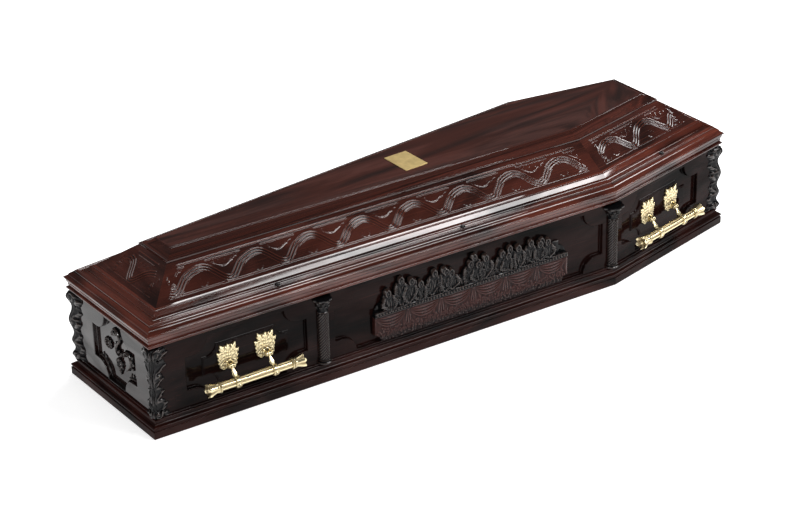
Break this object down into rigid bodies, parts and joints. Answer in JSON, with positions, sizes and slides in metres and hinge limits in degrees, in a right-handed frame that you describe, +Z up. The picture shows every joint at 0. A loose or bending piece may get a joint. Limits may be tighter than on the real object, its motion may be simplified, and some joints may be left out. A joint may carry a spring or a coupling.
{
  "type": "coffin",
  "caption": "Six-sided shouldered wooden coffin: moulded plinth, hollow raised lid, carved bands and reliefs, twisted columns, corner brackets and swing-bar handles.",
  "frame": {"origin": "on the floor, under the middle of the plinth's outline", "axes": "+X along the coffin from the foot to the head, +Y to the left side, +Z up"},
  "size_m": [2, 0.69, 0.4295],
  "materials": {
    "body_lacquer": "very dark mahogany under high-gloss lacquer",
    "plinth_lacquer": "dark mahogany under high-gloss lacquer",
    "lid_lacquer": "red-brown mahogany under high-gloss lacquer",
    "black_carving": "carving stained nearly black under gloss lacquer",
    "brass_fittings": "polished pale brass",
    "name_plate_brass": "brushed brass, bare"
  },
  "bodies": {
    "coffin": {"floor_board": "body_lacquer", "foot_board": "body_lacquer", "head_board": "body_lacquer", "side_board_right": "body_lacquer", "side_board_left": "body_lacquer", "shoulder_board_right": "body_lacquer", "shoulder_board_left": "body_lacquer", "plinth_foot": "plinth_lacquer", "plinth_head": "plinth_lacquer", "plinth_side_right": "plinth_lacquer", "plinth_side_left": "plinth_lacquer", "plinth_shoulder_right": "plinth_lacquer", "plinth_shoulder_left": "plinth_lacquer", "column_right": "black_carving", "column_left": "black_carving", "pilaster_right": "black_carving", "pilaster_left": "black_carving", "bracket_foot_right": "black_carving", "bracket_foot_left": "black_carving", "bracket_head_right": "black_carving", "bracket_head_left": "black_carving", "relief_right": "black_carving", "relief_left": "black_carving", "ornament_foot": "black_carving", "ornament_head": "black_carving", "rim_foot": "lid_lacquer", "rim_head": "lid_lacquer", "rim_side_right": "lid_lacquer", "rim_side_left": "lid_lacquer", "rim_shoulder_right": "lid_lacquer", "rim_shoulder_left": "lid_lacquer", "slope_foot": "lid_lacquer", "slope_head": "lid_lacquer", "slope_side_right": "lid_lacquer", "slope_side_left": "lid_lacquer", "slope_shoulder_right": "lid_lacquer", "slope_shoulder_left": "lid_lacquer", "lid_top": "lid_lacquer", "name_plate": "name_plate_brass", "cap_foot_right": "black_carving", "cap_foot_left": "black_carving", "cap_mid_right": "black_carving", "cap_mid_left": "black_carving", "cap_head_right": "black_carving", "cap_head_left": "black_carving", "lug_1_foot_right": "brass_fittings", "lug_2_foot_right": "brass_fittings", "lug_1_foot_left": "brass_fittings", "lug_2_foot_left": "brass_fittings", "lug_1_head_right": "brass_fittings", "lug_2_head_right": "brass_fittings", "lug_1_head_left": "brass_fittings", "lug_2_head_left": "brass_fittings"},
    "swing_foot_right": {"handle_foot_right": "brass_fittings"},
    "swing_foot_left": {"handle_foot_left": "brass_fittings"},
    "swing_head_right": {"handle_head_right": "brass_fittings"},
    "swing_head_left": {"handle_head_left": "brass_fittings"}
  },
  "joints": [
    {"name": "lift_foot_right", "type": "hinge", "parent": "coffin", "child": "swing_foot_right", "pos_m": [-0.70463, -0.23309, 0.142], "axis": [-0.9975, 0.0713, 0], "range_deg": [0, 70]},
    {"name": "lift_foot_left", "type": "hinge", "parent": "coffin", "child": "swing_foot_left", "pos_m": [-0.70463, 0.23309, 0.142], "axis": [0.9975, 0.0713, 0], "range_deg": [0, 70]},
    {"name": "lift_head_right", "type": "hinge", "parent": "coffin", "child": "swing_head_right", "pos_m": [0.71725, -0.27403, 0.142], "axis": [-0.9815, -0.1915, 0], "range_deg": [0, 70]},
    {"name": "lift_head_left", "type": "hinge", "parent": "coffin", "child": "swing_head_left", "pos_m": [0.71725, 0.27403, 0.142], "axis": [0.9815, -0.1915, 0], "range_deg": [0, 70]}
  ]
}
